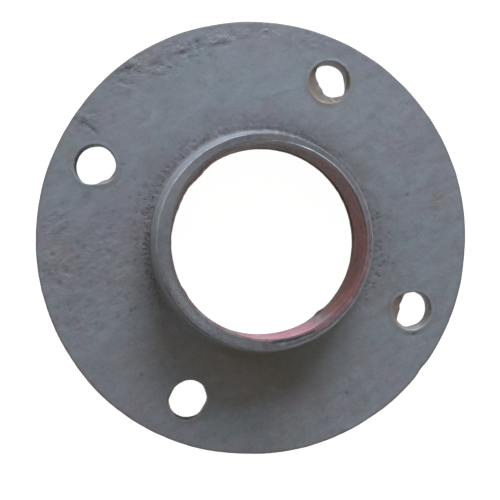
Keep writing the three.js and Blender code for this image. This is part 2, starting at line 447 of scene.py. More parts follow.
def front_fields(x, y):
    """Relief of the plate's front face, and its colour fields."""
    xy = np.column_stack([x, y])
    p = np.column_stack([x, y, 0 * x])
    r = np.hypot(x - NECK_C[0], y - NECK_C[1])
    t = np.arctan2(y, x)
    h = 0.13 * fbm(p, 55, 2, 11) + 0.035 * fbm(p, 13, 3, 12)
    h += 0.016 * fbm(p, 3.6, 2, 13) + 0.012 * noise(p, 1.3, 14)
    # flakes of mill scale: shallow steps with crisp edges, stretched along the edge
    zone = near(xy, PATCHES) * (0.75 + 0.5 * fbm(p, 5, 2, 20))
    s = np.column_stack([x * 0.7 + y * 0.35, y * 1.1 - x * 0.5, 0 * x])
    flake = smooth(0.02, 0.16, fbm(s, 4.2, 3, 21, 0.6))
    streak = fbm(s, 2.0, 2, 22)
    h += zone * (0.15 * (0.5 - flake) + 0.1 * streak)
    # grit that spread from the neck's root
    side = grit_side(np.arctan2(y - NECK_C[1], x - NECK_C[0]))
    band = side * smooth(60, 52.5, r)
    grit = np.clip(noise(p, 1.45, 31) * 0.9 + noise(p, 0.95, 32) * 0.5, -1, 1)
    h += 0.1 * band * grit
    # the pits' darkness is painted shade in them
    depth, dark = pits_at(x, y, np.concatenate([PITS, ROOT_PITS]))
    h -= depth
    cut, tone = cuts_at(xy)
    h += cut
    wear_and_painted_light = np.clip(-tone, 0, 1) * 0.8 + 0.55 * zone * smooth(0.2, 0.6, streak)
    rust = 0.25 * smooth(0.15, 0.6, fbm(p, 16, 3, 74))
    rust *= 1 - 0.8 * bump(turn(t, seen(265)), 0.6) * smooth(88, 70, r)
    warm = near(xy, WARM) * (0.8 + 0.5 * fbm(p, 6, 3, 77))
    around = np.arctan2(y - NECK_C[1], x - NECK_C[0])
    # brownish tint round the root, warmed on the lower side as painted shadow colour
    warm = np.maximum(warm, root_brown_and_shadow_tint(around, r) * (1 + 0.4 * fbm(p, 9, 2, 35)))
    # the rim of the plate: a worn line, browner along the lower edge
    edge = np.hypot(x, y) - plate_wobble(t)
    low = np.clip(bump(turn(t, seen(222)), 0.42) + bump(turn(t, seen(305)), 0.5), 0, 1)
    ragged = np.clip(0.6 + 0.9 * noise(p, 5, 16), 0, 1.2)
    rust += 0.8 * low * ragged * smooth(93.0, 94.1, edge)
    warm = np.maximum(warm, 0.6 * smooth(92.9, 94.1, edge))
    dark = np.maximum(dark, 0.35 * smooth(93.3, 94.3, edge))
    dark = np.maximum(dark, 0.17 * bump(turn(t, seen(92)), 0.62) * smooth(83, 91, edge))
    # painted shadow: the plate darker at the bottom of the main view, out where the neck's shadow tail falls
    dark = np.maximum(dark, 0.1 * bump(turn(t, seen(268)), 0.35) * smooth(66, 80, edge))
    # painted light: the plate lightened at the right edge of the neck's shadow, near the root
    wear_and_painted_light = wear_and_painted_light + 0.14 * bump(turn(t, seen(294)), 0.17) * bump(r - 60, 9)
    wear_and_painted_light = wear_and_painted_light + 0.4 * bump(turn(around, seen(308)), 0.3) * smooth(58, 50.5, r)
    tan = np.zeros(len(x))
    for k, c in enumerate(HOLES):
        a = np.arctan2(y - c[1], x - c[0])
        d = np.hypot(x - c[0], y - c[1]) + by_angle(a, HOLE_EDGES[k])
        up = by_angle(a, HOLE_BURRS[k])
        h += (0.02 + up) * bump(d - (HOLE_R + 0.9), 0.6) * (0.8 + 0.4 * noise(p, 5, 41 + k))
        h -= (0.02 + 0.3 * up) * bump(d - (HOLE_R + 2.4), 1.0)
        # the burr's bright ring is worn metal strengthened into a painted glint, the dark ring outside it painted
        # shade
        wear_and_painted_light += (0.05 + 2.6 * up) * bump(d - (HOLE_R + 0.8), 0.5)
        dark = np.maximum(dark, (0.1 + 1.8 * up) * bump(d - (HOLE_R + 2.2), 0.7))
        shade = by_angle(a, HOLE_SHADE[k]) * bump(d - (HOLE_R + 0.5), 0.8)
        dark = np.maximum(dark, shade)
        stain = by_angle(a, HOLE_STAINS[k]) * bump(np.maximum(d - (HOLE_R + 0.4), 0), 1.5)
        warm = np.maximum(warm, stain)
        # where the wall bulges in, its tan scale starts outside the hole
        lip = np.clip(by_angle(a, HOLE_LIPS[k]) / 2.6, 0, 1)
        tan = np.maximum(tan, 0.6 * HOLE_TAN[k] * lip * bump(np.maximum(d - (HOLE_R + 0.2), 0), 1.2))
    dark = np.clip(
        dark * 0.85
        + np.clip(tone, 0, 1) * 0.85
        + smooth(0.12, 0.75, -grit) * band * 0.55
        # painted shade towards the neck's root
        + root_painted_shade(np.arctan2(y - NECK_C[1], x - NECK_C[0]), r) * (1 + 0.5 * fbm(p, 7, 3, 34))
        + zone * (0.26 * flake + 0.5 * smooth(0.15, 0.55, -streak)),
        0,
        1,
    )
    cool = near(xy, COOL) * (0.7 + 0.8 * fbm(p, 12, 3, 78)) * smooth(54, 66, r)
    return h, {
        "dark": dark,
        "rust": rust,
        "wear_and_painted_light": wear_and_painted_light,
        "warm": warm,
        "tint": cool,
        "tan": tan,
        "flake": zone,
    }


# ================================================================ flange plate
def build_plate(material):
    N, NR = 640, 56
    rho, rho_hole = 0.42, 0.34
    th = np.arange(N) * TAU / N
    dirs = np.stack([np.cos(th), np.sin(th)], 1)
    outer = (PLATE_R - 0.5 + plate_wobble(th) - rho)[:, None] * dirs
    outer_len = np.hypot(outer[:, 0], outer[:, 1])
    outer = outer * (np.minimum(outer_len, PLATE_R - 0.04 - rho) / outer_len)[:, None]
    inner = NECK_C + 46.35 * dirs
    s = np.linspace(0, 1, NR + 1)
    grid = inner[:, None, :] * (1 - s)[None, :, None] + outer[:, None, :] * s[None, :, None]
    gid = np.arange(N * (NR + 1)).reshape(N, NR + 1)
    points = [grid.reshape(-1, 2)]
    total = N * (NR + 1)
    drop = np.zeros((N, NR), bool)
    quads = []
    hole_loops = []
    steps = [0.0, 0.05, 0.11, 0.18, 0.27, 0.37, 0.48, 0.6, 0.73, 0.87]
    W, J = 18, 15
    for k in range(4):
        a = k * TAU / 4
        centre = HOLE_PCR * np.array([math.cos(a), math.sin(a)])
        ic = k * N // 4
        along = np.hypot(*grid[ic].T)
        jc = int(np.argmin(abs(along - HOLE_PCR)))
        j0, j1 = jc - J, jc + J
        for i in range(-W, W):
            drop[(ic + i) % N, j0:j1] = True
        # the block's edge, counter-clockwise as seen from +Z
        edge = (
            [((ic - W) % N, j) for j in range(j0, j1)]
            + [((ic + i) % N, j1) for i in range(-W, W)]
            + [((ic + W) % N, j) for j in range(j1, j0, -1)]
            + [((ic + i) % N, j0) for i in range(W, -W, -1)]
        )
        ids = np.array([gid[i, j] for i, j in edge])
        outer_pts = np.array([grid[i, j] for i, j in edge])
        ang = np.arctan2(*(outer_pts - centre).T[::-1])
        turns = np.unwrap(ang)
        M = len(ids)
        even = turns[0] + np.arange(M) * TAU / M * np.sign(turns[-1] - turns[0])
        ang = 0.6 * even + 0.4 * turns
        wob = 0.12 * noise(np.stack([np.cos(ang) * 4, np.sin(ang) * 4, 0 * ang + k * 9], 1), 3, 61)
        radius = HOLE_R + 0.1 + rho_hole + wob - by_angle(ang, HOLE_EDGES[k])
        circle = centre + radius[:, None] * np.stack([np.cos(ang), np.sin(ang)], 1)
        rings = [ids]
        for q in steps[::-1]:
            points.append(circle * (1 - q) + outer_pts * q)
            rings.append(np.arange(total, total + M))
            total += M
        for o, n in zip(rings, rings[1:]):
            for m in range(M):
                m2 = (m + 1) % M
                quads.append([int(o[m]), int(o[m2]), int(n[m2]), int(n[m])])
        hole_loops.append((rings[-1], centre, ang, radius))
    for i in range(N):
        i2 = (i + 1) % N
        for j in range(NR):
            if not drop[i, j]:
                quads.append(
                    [int(gid[i, j]), int(gid[i, j + 1]), int(gid[i2, j + 1]), int(gid[i2, j])]
                )
    plan = np.concatenate(points)
    used = np.zeros(len(plan), bool)
    used[np.array(quads).ravel()] = True
    new_id = np.cumsum(used) - 1
    plan = plan[used]
    quads = new_id[np.array(quads)]
    # the O-grids run the way their edges do, so face each quad up
    q0, q1, q2 = (plan[quads[:, c]] for c in range(3))
    area = (q1[:, 0] - q0[:, 0]) * (q2[:, 1] - q0[:, 1]) - (q1[:, 1] - q0[:, 1]) * (
        q2[:, 0] - q0[:, 0]
    )
    quads = np.where((area < 0)[:, None], quads[:, ::-1], quads)
    x, y = plan.T
    h, front = front_fields(x, y)
    top = np.stack([x, y, PLATE_T + h], 1)
    p = np.stack([x, y, 0 * x], 1)
    back = 0.10 * (0.5 + 0.5 * fbm(p, 38, 3, 71)) + 0.05 * (0.5 + 0.5 * fbm(p, 2.8, 2, 72))
    # light grinding marks across the back
    back += 0.018 * noise(np.stack([x * 0.06, y * 1.6, 0 * x], 1), 1.0, 70)
    bottom = np.stack([x, y, np.clip(back, 0.0, 1)], 1)
    n = len(plan)
    verts = [top, bottom]
    faces = quads.tolist() + (quads[:, ::-1] + n).tolist()
    extra = 2 * n
    zero = np.zeros(n)
    under = {
        "dark": 0.08 + 0.3 * smooth(0.0, 0.5, fbm(p, 7, 3, 75)),
        "rust": 0.6 * smooth(-0.05, 0.6, fbm(p, 26, 3, 73)),
        "wear_and_painted_light": 0.3 * smooth(0.3, 0.6, fbm(p, 9, 3, 76)),
        "warm": 0.35 + 0.4 * smooth(0.0, 0.5, fbm(p, 19, 3, 79)),
        "tint": zero,
        "tan": 0.3 * smooth(0.1, 0.5, fbm(p, 14, 3, 80)),
        "flake": zero,
    }
    fields = {key: [front[key], under[key]] for key in front}

    def wall(loop, outward, flip, bevel, shape, colour, mid):
        """Rounds over from the front, runs down the wall and rounds into the back."""
        nonlocal extra
        m = len(loop)
        base_xy = plan[loop]
        z_top, z_bot = top[loop, 2], bottom[loop, 2]
        arc = np.linspace(0, math.pi / 2, 5)[1:]
        profile = [(bevel * math.sin(a), 1, bevel * (1 - math.cos(a))) for a in arc]
        profile += [(bevel, 1 - q, None) for q in mid]
        profile += [(bevel * math.sin(a), 0, bevel * (1 - math.cos(a))) for a in arc[::-1]]
        rings = [np.array(loop)]
        for off, where, down in profile:
            if down is None:
                lo, hi = z_bot + bevel, z_top - bevel
                z = lo + (hi - lo) * where
            else:
                z = z_top - down if where == 1 else z_bot + down
            xy = base_xy + outward * off
            q = np.stack([xy[:, 0], xy[:, 1], z], 1)
            inset = shape(q) * min(1.0, off / bevel)
            xy = xy - outward * inset[:, None]
            verts.append(np.stack([xy[:, 0], xy[:, 1], z], 1))
            for key, value in colour(q, off / bevel, where).items():
                fields[key].append(value + np.zeros(m))
            fields["flake"].append(np.zeros(m))
            rings.append(np.arange(extra, extra + m))
            extra += m
        rings.append(np.array(loop) + n)
        for o, w in zip(rings, rings[1:]):
            for i in range(m):
                j = (i + 1) % m
                quad = [int(o[i]), int(w[i]), int(w[j]), int(o[j])]
                faces.append(quad[::-1] if flip else quad)

    # outer edge: a flame-cut wall with fine drag lines
    def edge_shape(q):
        a = np.arctan2(q[:, 1], q[:, 0])
        lines = noise(np.stack([a * PLATE_R, q[:, 2] * 0.12, 0 * a], 1), 1.3, 81)
        return 0.05 + 0.05 * lines + 0.04 * (1 + fbm(q, 2.2, 2, 82))

    def edge_colour(q, off, where):
        a = np.arctan2(q[:, 1], q[:, 0])
        low = np.clip(bump(turn(a, seen(222)), 0.42) + bump(turn(a, seen(305)), 0.5), 0, 1)
        f = fbm(q, 9, 3, 83)
        return {
            "dark": 0.3 * smooth(0, 0.6, -f) + 0.3,
            "rust": (0.3 + 0.4 * smooth(-0.3, 0.5, f)) * max(off, 0.5) + 0.15 * low,
            "wear_and_painted_light": 0.1 * (off < 0.99) * (0.3 + 0.7 * noise(q, 4, 84)),
            "warm": 0.6 + 0.4 * f,
            "tint": 0.0,
            "tan": 0.25 * low,
        }

    wall(new_id[gid[:, NR]], dirs, False, rho, edge_shape, edge_colour, np.linspace(0, 1, 10)[1:-1])

    for k, (loop, centre, ang, radius) in enumerate(hole_loops):
        loop = new_id[loop]
        inward = -np.stack([np.cos(ang), np.sin(ang)], 1)

        def hole_shape(q, k=k, ang=ang):
            lip = by_angle(ang, HOLE_LIPS[k]) * (1 + 0.05 * noise(q, 3.4, 64 + k))
            z = q[:, 2]
            big = np.clip(by_angle(ang, HOLE_LIPS[k]) / 2.0, 0, 1)
            lip = lip * smooth(6.3, 4.9 - 1.0 * (1 - big), z) * smooth(-0.2, 0.9, z)
            return 0.03 + 0.05 * noise(q, 1.6, 90 + k) - lip

        def hole_colour(q, off, where, k=k, ang=ang):
            f = fbm(q, 3.5, 2, 95 + k)
            lip = np.clip(by_angle(ang, HOLE_LIPS[k]) / 1.8, 0, 1)
            z = q[:, 2]
            return {
                "dark": (0.5 + 0.25 * smooth(-0.3, 0.5, -f))
                * off
                * (1 - 0.8 * lip)
                * (0.45 if k == 1 else 0.85)
                + 0.1 * lip
                + (0.3 * (1 - lip) * off if k == 2 else 0.0)
                + (lip * (0.18 + 0.55 * bump(turn(ang, seen(300)), 0.8)) if k == 1 else 0.0)
                + (0.5 * off * bump(turn(ang, seen(285)), 0.9) if k == 3 else 0.0),
                "rust": (0.12 + 0.3 * smooth(-0.2, 0.5, f)) * off * (1 - 0.4 * lip),
                "wear_and_painted_light": 0.22 * bump(np.array(off - 0.35), 0.35) * (1 if where == 1 else 0.3)
                + (0.12 * lip * bump(turn(ang, seen(165)), 0.9) if k == 0 else 0.0)
                # painted glint on the burr's rounding
                + 2.2 * by_angle(ang, HOLE_BURRS[k]) * bump(np.array(off - 0.5), 0.6) * (where == 1),
                "warm": 0.35 + 0.35 * lip + 0.2 * f + (0.4 if k == 3 else 0.0),
                "tint": 0.0,
                "tan": HOLE_TAN[k] * lip * (0.85 + 0.3 * f),
            }

        # the loop's own direction decides which way its wall faces
        ring = plan[loop] - centre
        run = ring[0, 0] * ring[1, 1] - ring[0, 1] * ring[1, 0]
        steps_down = (0.03, 0.07, 0.12, 0.18, 0.25, 0.33, 0.43, 0.55, 0.68, 0.82, 0.93)
        wall(loop, inward, run > 0, rho_hole, hole_shape, hole_colour, steps_down)

    # the hidden bore for the collar
    loop = new_id[gid[:, 0]]
    m = len(loop)
    for i in range(m):
        j = (i + 1) % m
        faces.append([int(loop[i]), int(loop[j]), int(loop[j] + n), int(loop[i] + n)])
    return make_piece(
        "flange_plate_steel",
        np.concatenate(verts),
        faces,
        {key: np.concatenate(value) for key, value in fields.items()},
        material,
        "flange_plate",
    )


# ================================================================= neck collar
# The outside, from the weld up to the rim: radius by height.
WALL_Z = [COLLAR_Z0, 8.5, 11.0, 14.0, 18.0, 22.0, 24.4, 25.2, 25.65, 25.95, 26.15, 26.25]
WALL_R = [46.1, 46.3, 46.95, 46.55, 45.85, 45.0, 44.5, 44.3, 44.13, 43.93, 43.68, 43.4]


def band_painted_light(t):
    """Painted highlight and painted shade on the neck's outside, by angle: how far its wear colour brightens it,
    and how far it is darkened.
    """
    lit = 0.22 + 0.55 * bump(turn(t, seen(124)), 0.5) + 0.46 * bump(turn(t, seen(168)), 0.45)
    lit = lit + 0.22 * bump(turn(t, seen(305)), 0.7) + 0.16 * bump(turn(t, seen(150)), 0.8)
    lit = lit + 0.12 * bump(turn(t, seen(172)), 0.25)
    shaded = bump(turn(t, seen(72)), 0.42)
    corner = bump(turn(t, seen(40)), 0.26)
    return lit * (1 - 0.75 * shaded), 0.58 * shaded + 0.34 * corner


def build_collar(material):
    N = 560
    th = np.arange(N) * TAU / N
    cs = np.stack([np.cos(th), np.sin(th)], 1)
    prof = []  # (radius, height, which centre: 0 neck to 1 bore, zone)
    for z in np.linspace(COLLAR_Z0 + 0.05, 12.0, 6):
        prof.append((float(np.interp(z, WALL_Z, WALL_R)), z, 0, "out"))
    for z in np.linspace(12.8, 24.0, 20):
        prof.append((float(np.interp(z, WALL_Z, WALL_R)), z, 0, "out"))
    for z in (24.5, 24.9, 25.25, 25.5, 25.7, 25.86, 25.98, 26.08, 26.17, 26.24):
        prof.append((float(np.interp(z, WALL_Z, WALL_R)), z, 0, "shoulder"))
    for q in np.linspace(0, 1, 14)[:-1]:
        prof.append((43.3 + (BORE_RIM_R + 0.7 - 43.3) * q, RIM_Z - 0.14, q, "land"))
    for a in np.radians(np.linspace(0, 90, 8)):
        prof.append(
            (
                BORE_RIM_R + 0.62 - 0.95 * math.sin(a),
                RIM_Z - 0.14 - 1.0 * (1 - math.cos(a)),
                1,
                "lip",
            )
        )
    for z in np.linspace(RIM_Z - 1.7, COLLAR_Z0 + 0.1, 36):
        k = (RIM_Z - z) / RIM_Z
        swell = 0.3 * math.exp(-(((RIM_Z - z) / 4.5) ** 2))
        prof.append((BORE_RIM_R + k * (BORE_BACK_R - BORE_RIM_R) - swell, z, 1, "bore"))
    for q in np.linspace(0, 1, 4)[1:-1]:
        prof.append(
            (BORE_BACK_R + (46.0 - BORE_BACK_R) * q, COLLAR_Z0 + 0.03, 1 - q, "end")
        )
    K = len(prof)
    verts = np.zeros((K, N, 3))
    out = {key: np.zeros((K, N)) for key in KEYS}
    ring = np.concatenate([cs * 44, np.zeros((N, 1))], 1)
    # the upper left of the bore's mouth is broken away unevenly
    broken = np.clip(
        1.0 * bump(turn(th, seen(142)), 0.42) + 0.45 * bump(turn(th, seen(95)), 0.4), 0, 1
    ) * (0.75 + 0.6 * fbm(ring, 4, 3, 140))
    # and the bore was never cleaned up below it, so a lump stands in
    lump = 1.75 * bump(turn(th, seen(134)), 0.2) + 1.15 * bump(turn(th, seen(160)), 0.26)
    lump = (lump + 0.35 * bump(turn(th, seen(190)), 0.3)) * (0.9 + 0.35 * fbm(ring, 5, 3, 141))
    worn = bump(turn(th, seen(308)), 0.52)
    for k, (r, z, c, zone) in enumerate(prof):
        centre = NECK_C * (1 - c) + BORE_C * c
        p = np.concatenate([centre + r * cs, np.full((N, 1), z)], 1)
        rr, zz = np.full(N, r), np.full(N, z)
        grain = fbm(p, 1.7, 2, 101)
        mid = fbm(p, 8, 3, 102)
        f = {key: 0.0 for key in out}
        if zone in ("out", "shoulder"):
            rr += 0.03 * grain + 0.1 * mid - 0.05
            # the neck's outside: painted highlight and painted shade by angle, with more painted shade on the lower
            # left wall
            lit, painted_shade = band_painted_light(th)
            f["wear_and_painted_light"] = lit * (0.8 + 0.4 * fbm(p, 5, 2, 104))
            f["dark"] = 0.1 * smooth(0.1, 0.6, -mid) + painted_shade + 0.14 * bump(turn(th, seen(235)), 0.5)
            f["rust"] = 0.12 * smooth(0.1, 0.6, mid) * (1 - lit)
            f["warm"] = 0.3 * bump(turn(th, seen(185)), 0.5) + 0.2 * smooth(0.0, 0.5, mid)
            if zone == "shoulder":
                # painted shade on the shoulder towards the top, the right and the lower left, and painted light on
                # its lower right, where it lies in the neck's own shadow
                top = smooth(24.2, 25.6, z)
                f["dark"] = f["dark"] + 0.38 * top * bump(turn(th, seen(84)), 0.5)
                f["wear_and_painted_light"] = f["wear_and_painted_light"] * (1 - 0.3 * top * bump(turn(th, seen(88)), 0.5))
                f["dark"] = f["dark"] + 0.4 * top * bump(turn(th, seen(40)), 0.3)
                f["dark"] = f["dark"] + 0.52 * top * bump(turn(th, seen(225)), 0.7)
                f["wear_and_painted_light"] = f["wear_and_painted_light"] + 0.15 * top * worn
                f["wear_and_painted_light"] = f["wear_and_painted_light"] * (1 - top * (0.35 - 0.5 * smooth(-0.3, 0.5, noise(p, 2.2, 154))))
                rr += 0.05 * top * noise(p, 1.7, 155)
                side = bump(turn(th, seen(309)), 0.3)
                speck = np.clip(noise(p, 1.0, 151) + 0.5 * noise(p, 0.7, 152), -1, 1)
                f["wear_and_painted_light"] = f["wear_and_painted_light"] + 0.12 * side * (0.8 + 0.6 * speck)
                f["dark"] = f["dark"] * (1 - 0.6 * side) + 0.35 * side * smooth(0.1, 0.6, -speck)
                zz += 0.07 * side * top * speck
                rr += 0.09 * side * top * noise(p, 1.5, 153)
                zz += -0.03 + 0.03 * grain * (z > 25.5)
                # knocked round on the lower right, so the land runs over into the wall
                zz -= 0.4 * worn * smooth(24.2, 26.2, z)
                rr -= 0.5 * worn * smooth(23.5, 25.9, z)
        elif zone == "land":
            zz += -0.05 + 0.04 * grain + 0.06 * fbm(p, 14, 2, 105)
            # the land is darkened towards the top (painted shade), darker on its outer lower left and lighter on
            # the left and inner lower left, with a dark line along its inner edge at the bottom (painted shade);
            # its grain and clouds are its own mottling
            painted_shade = bump(turn(th, seen(108)), 0.36) + 0.85 * bump(turn(th, seen(66)), 0.36)
            painted_shade = painted_shade * (1 - 0.65 * smooth(0.45, 0.95, c))
            f["dark"] = (
                0.18 * smooth(0, 0.7, -grain)
                + 0.3 * painted_shade * (0.8 + 0.6 * fbm(p, 3.5, 2, 103))
                + 0.28 * smooth(0.08, 0.55, fbm(p, 5, 3, 106))
            )
            right = bump(turn(th, seen(-20)), 0.9)
            f["warm"] = (
                0.35 * right
                + 0.3 * bump(turn(th, seen(262)), 0.5)
                + 0.4 * broken * smooth(0.8, 1.0, c)
            )
            f["rust"] = 0.25 * right * smooth(0.45, 1.0, c) + 0.3 * broken * smooth(0.88, 1, c)
            f["rust"] = f["rust"] + 0.35 * bump(turn(th, seen(174)), 0.55) * smooth(0.8, 1, c)
            f["wear_and_painted_light"] = 0.4 * bump(turn(th, seen(218)), 0.42) * smooth(0.1, 0.5, c) + 0.34 * bump(
                turn(th, seen(150)), 0.4
            )
            f["wear_and_painted_light"] = f["wear_and_painted_light"] + 0.15 * bump(turn(th, seen(-5)), 0.5) * smooth(0.7, 0.2, c)
            f["dark"] = f["dark"] + 0.4 * bump(turn(th, seen(217)), 0.42) * smooth(0.45, 0.0, c)
            f["dark"] = f["dark"] + 0.16 * bump(turn(th, seen(188)), 0.3)
            f["dark"] = f["dark"] + 0.3 * bump(turn(th, seen(286)), 0.12) * smooth(0.5, 1.0, c)
            f["wear_and_painted_light"] = f["wear_and_painted_light"] + 0.2 * bump(turn(th, seen(136)), 0.2) * smooth(0.5, 1.0, c)
            f["dark"] = f["dark"] * (1 - 0.5 * bump(turn(th, seen(92)), 0.4) * smooth(0.4, 1.0, c))
            zz -= 0.35 * broken * smooth(0.85, 1.0, c)
            rr -= 0.5 * worn * smooth(0.6, 0.0, c)
            zz -= 0.4 * worn * smooth(0.8, 0.0, c) ** 1.6
            # a burr along the bore's upper right, and a pink tint on the lower right
            zz += 0.06 * bump(turn(th, seen(66)), 0.6) * smooth(0.9, 1.0, c)
            pinkish = bump(turn(th, seen(328)), 0.75)
            f["tint"] = 0.6 * pinkish * smooth(-0.4, 1.0, c) * (0.75 + 0.5 * smooth(-0.4, 0.5, grain))
            # frosted, grainy metal on the side away from the light
            frost = bump(turn(th, seen(308)), 0.75) + 0.8 * bump(turn(th, seen(225)), 0.5)
            speck = np.clip(noise(p, 1.0, 151) + 0.5 * noise(p, 0.7, 152), -1, 1)
            zz += 0.07 * frost * speck
            f["wear_and_painted_light"] = f["wear_and_painted_light"] + 0.4 * frost * smooth(0.15, 0.7, speck)
            f["dark"] = f["dark"] + 0.35 * frost * smooth(0.2, 0.8, -speck)
        elif zone == "lip":
            inn = (BORE_RIM_R + 0.62 - r) / 0.95
            burr = bump(turn(th, seen(62)), 0.7) + 0.4 * bump(turn(th, seen(95)), 0.3)
            zz += -0.04 + 0.06 * burr * bump(np.array(inn), 0.5) + 0.05 * grain
            zz += 0.26 * bump(turn(th, seen(66)), 0.6) * bump(np.array(inn - 0.34), 0.3)
            zz -= broken * (0.5 + 0.9 * inn)
            rr += 0.05 * grain + 0.08 * noise(p, 3.0, 108)
            # on the lip: painted highlight towards the top right, painted shade along its lower edge and lower
            # left, and the pink painted sheen on the lower right
            soft = 0.14 * bump(turn(th, seen(240)), 0.5)
            top = bump(turn(th, seen(68)), 0.62)
            f["wear_and_painted_light"] = (0.2 + 0.75 * burr - soft + 0.9 * top) * bump(np.array(inn - 0.2), 0.5)
            f["rust"] = 0.12 + 0.5 * inn * (1 - 0.6 * burr)
            f["warm"] = 0.15 + 0.5 * inn + 0.3 * broken
            f["dark"] = (0.22 * smooth(0.0, 0.6, -grain) + 0.1 * inn) * (1 - broken) * (1 - 0.5 * top)
            f["tan"] = 0.6 * broken
            pinkish = bump(turn(th, seen(320)), 0.72)
            f["tint"] = 0.85 * pinkish * (0.85 + 0.3 * mid)
            f["wear_and_painted_light"] = f["wear_and_painted_light"] * (1 - 0.75 * pinkish) + 0.25 * broken
            below = bump(turn(th, seen(260)), 0.42) + bump(turn(th, seen(312)), 0.3)
            f["dark"] = f["dark"] + 0.6 * below + 0.7 * bump(turn(th, seen(198)), 0.4)
            rr -= lump * smooth(26.0, 22.4, zz)
        elif zone == "bore":
            rr += 0.1 * fbm(p, 5, 3, 109) + 0.04 * grain
            depth = RIM_Z - z
            zz -= broken * 1.2 * math.exp(-((depth / 2.2) ** 2))
            zz = np.maximum(zz, COLLAR_Z0)
            rr -= lump * smooth(26.0, 22.4, zz) * smooth(10.0, 19.0, zz)
            chamfer = np.clip(broken * smooth(20.0, 22.5, zz), 0, 1)
            red = np.clip(
                1.0 * bump(turn(th, seen(-14)), 0.82) + 0.42 * bump(turn(th, seen(62)), 0.6), 0, 1
            )
            # painted sheen: the bore's own red-brown turned to a lighter pink on the lower right, where the light
            # falls on the wall
            pink_sheen = np.clip(
                1.1 * bump(turn(th, seen(287)), 0.34) + 0.7 * bump(turn(th, seen(262)), 0.3), 0, 1
            )
            cloud = fbm(p, 7, 3, 110)
            f["rust"] = np.clip((0.15 + 0.85 * red) * (1 + 0.5 * cloud) - 0.7 * pink_sheen, 0, 1)
            f["warm"] = (0.95 + 0.3 * fbm(p, 9, 2, 112)) * (1 - 0.9 * pink_sheen)
            f["tint"] = 1.2 * pink_sheen * (0.9 + 0.4 * fbm(p, 5, 3, 113))
            f["dark"] = 0.25 * smooth(0.0, 0.55, -fbm(p, 6, 3, 111)) + 0.2 * smooth(
                0.1, 0.6, grain
            )
            # darker at the top of the bore, where the wall faces away from the light: painted shade; also darker on
            # the left
            f["dark"] = f["dark"] + 0.78 * bump(turn(th, seen(94)), 0.75) + 0.04
            f["dark"] = f["dark"] + 0.75 * bump(turn(th, seen(196)), 0.4)
            # opened out below on the lower left
            rr += 0.75 * bump(turn(th, seen(247)), 0.42) * smooth(25.0, 8.0, z)
            f["tan"] = 0.7 * chamfer
            f["wear_and_painted_light"] = 0.3 * chamfer
            f["rust"] = f["rust"] * (1 - 0.4 * chamfer)
            f["warm"] = f["warm"] * (1 - 0.8 * chamfer)
        # a knock in the land at the bottom of the main view, and a smaller one beside it, both painted dark as
        # shade in the dents
        for deg, w, drop, size in (
            (282, 0.17, 0.35, 1.0),
            (275, 0.07, 0.3, 1.3),
            (294, 0.07, 0.2, 0.8),
        ):
            if zone in ("land", "lip", "bore"):
                u = turn(th, seen(deg)) / w
                if zone == "bore":
                    d2 = 1 + ((RIM_Z - z) / 1.2) ** 2
                else:
                    d2 = ((r - (BORE_RIM_R + 0.9)) / size) ** 2
                q = np.exp(-(u**4)) * math.exp(-d2)
                zz -= drop * q
                mark = np.exp(-(u**4)) * math.exp(-d2 * 0.7)
                f["dark"] = np.maximum(f["dark"], 0.95 * mark)
                f["wear_and_painted_light"] = f["wear_and_painted_light"] * (1 - mark)
                f["tint"] = f["tint"] * (1 - mark)
        # two small pits at the right, painted dark as shade in them
        for deg in (-5.0, -8.6):
            if zone in ("shoulder", "land"):
                u = np.hypot(turn(th, seen(deg)) * 43, r - 42.9)
                zz -= 0.3 * np.exp(-((u / 0.5) ** 2))
                f["dark"] = np.maximum(f["dark"], np.exp(-((u / 0.65) ** 2)))
        verts[k, :, :2] = centre + rr[:, None] * cs
        verts[k, :, 2] = np.clip(zz, COLLAR_Z0, RIM_Z - 0.01)
        for key in out:
            out[key][k] = f[key]
    return make_piece(
        "neck_collar_steel",
        verts.reshape(-1, 3),
        ring_faces(N, K, True, flip=True),
        {key: value.ravel() for key, value in out.items()},
        material,
        "neck_collar",
    )


# ================================================================== front weld
# Exposed face of the bead, from the toe on the plate up to the neck.
BEAD_R = [54.2, 53.2, 52.0, 50.8, 49.8, 49.0, 48.4, 48.05, 47.8, 47.55, 47.25, 46.85]
BEAD_Z = [6.05, 6.24, 6.37, 6.47, 6.56, 6.67, 6.90, 7.35, 8.2, 9.5, 11.1, 13.0]


